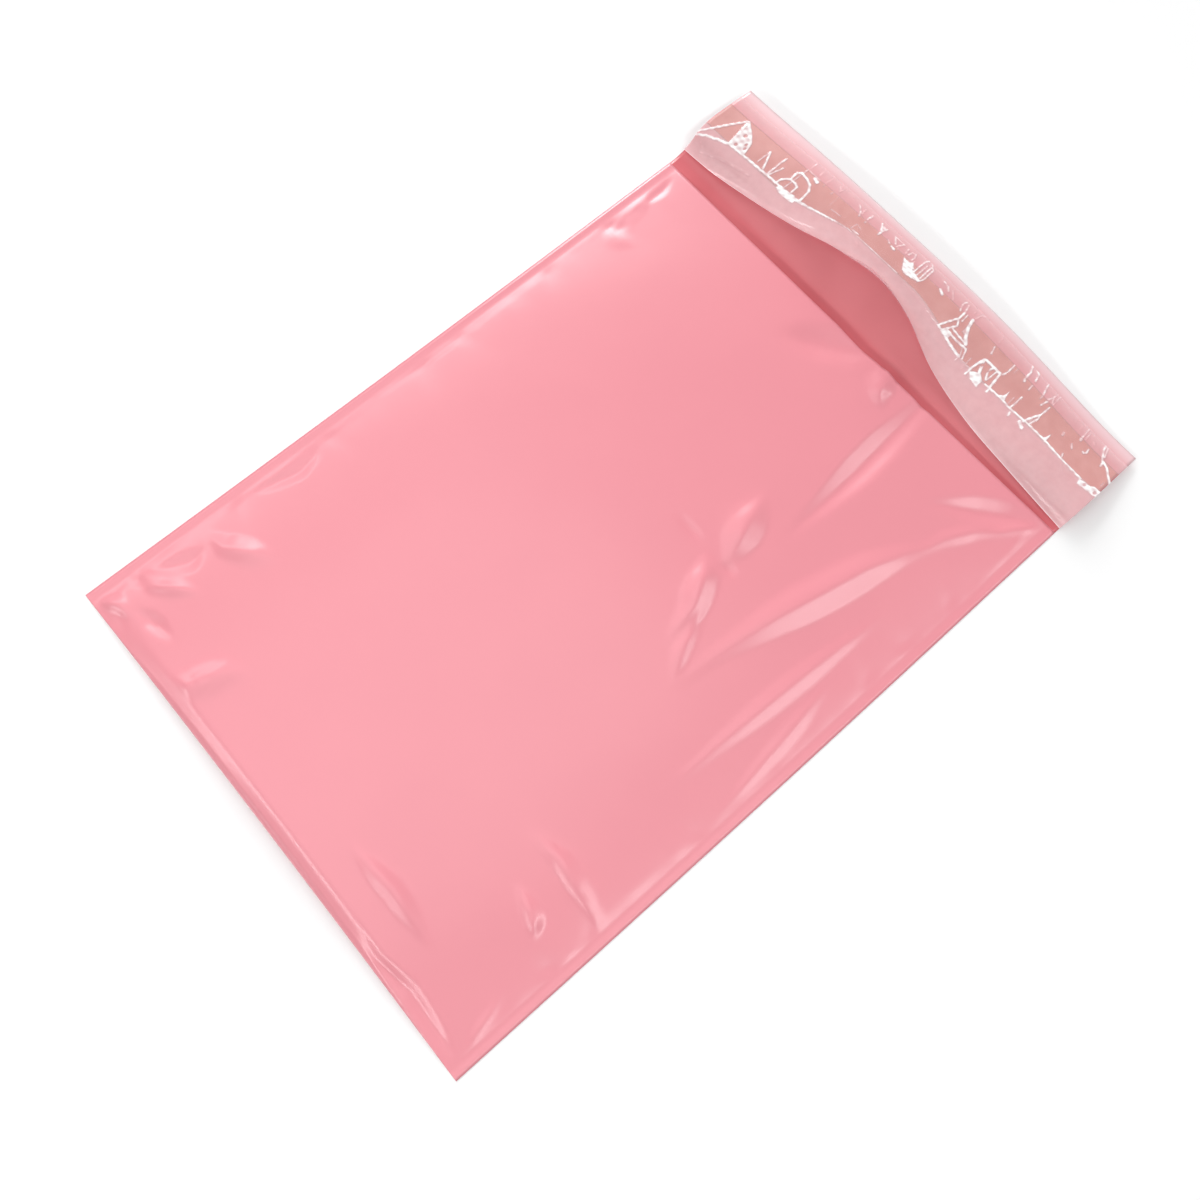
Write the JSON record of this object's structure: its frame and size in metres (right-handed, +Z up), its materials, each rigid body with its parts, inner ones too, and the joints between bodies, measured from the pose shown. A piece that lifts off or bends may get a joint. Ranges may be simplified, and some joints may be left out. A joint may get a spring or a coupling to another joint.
{
  "type": "poly mailer bag",
  "caption": "Pink plastic film mailing bag lying open and empty, with its sealing flap unfolded and a clear liner over the glue strip.",
  "frame": {"origin": "middle of the bag's footprint, on the surface it lies on", "axes": "X across the bag, Y from the folded bottom to the end of the flap, Z up out of the front panel"},
  "size_m": [0.2296, 0.3526, 0.0266],
  "materials": {
    "pink_film": "satin co-extruded polyethylene film",
    "hot_melt": "tacky translucent hot-melt glue",
    "clear_film": "clear silicone-coated release film"
  },
  "bodies": {
    "root": {"bag_film": "pink_film", "adhesive_strip": "hot_melt", "release_liner": "clear_film"}
  },
  "joints": []
}
